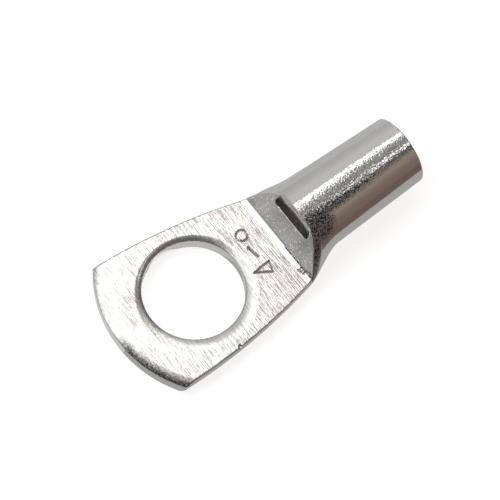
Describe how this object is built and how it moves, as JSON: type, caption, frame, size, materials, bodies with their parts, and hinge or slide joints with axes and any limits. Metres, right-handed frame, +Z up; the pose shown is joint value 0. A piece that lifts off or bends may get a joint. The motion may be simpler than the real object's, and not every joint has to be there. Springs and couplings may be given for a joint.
{
  "type": "tubular cable lug",
  "caption": "Tinned copper tube lug: a round barrel to crimp on a conductor, pressed flat into a palm with a stud hole, with a sight slot at the step.",
  "frame": {"origin": "centre of the stud hole, on the underside of the palm", "axes": "+X along the barrel and out of its mouth; +Z up through the stud hole, on the side of the ramp and the sight slot"},
  "size_m": [0.0214, 0.0095, 0.0046],
  "materials": {
    "tinned_copper": "bright tin plate over copper, brushed across the palm and fine-grained on the barrel"
  },
  "bodies": {
    "root": {"cable_lug": "tinned_copper"}
  },
  "joints": []
}
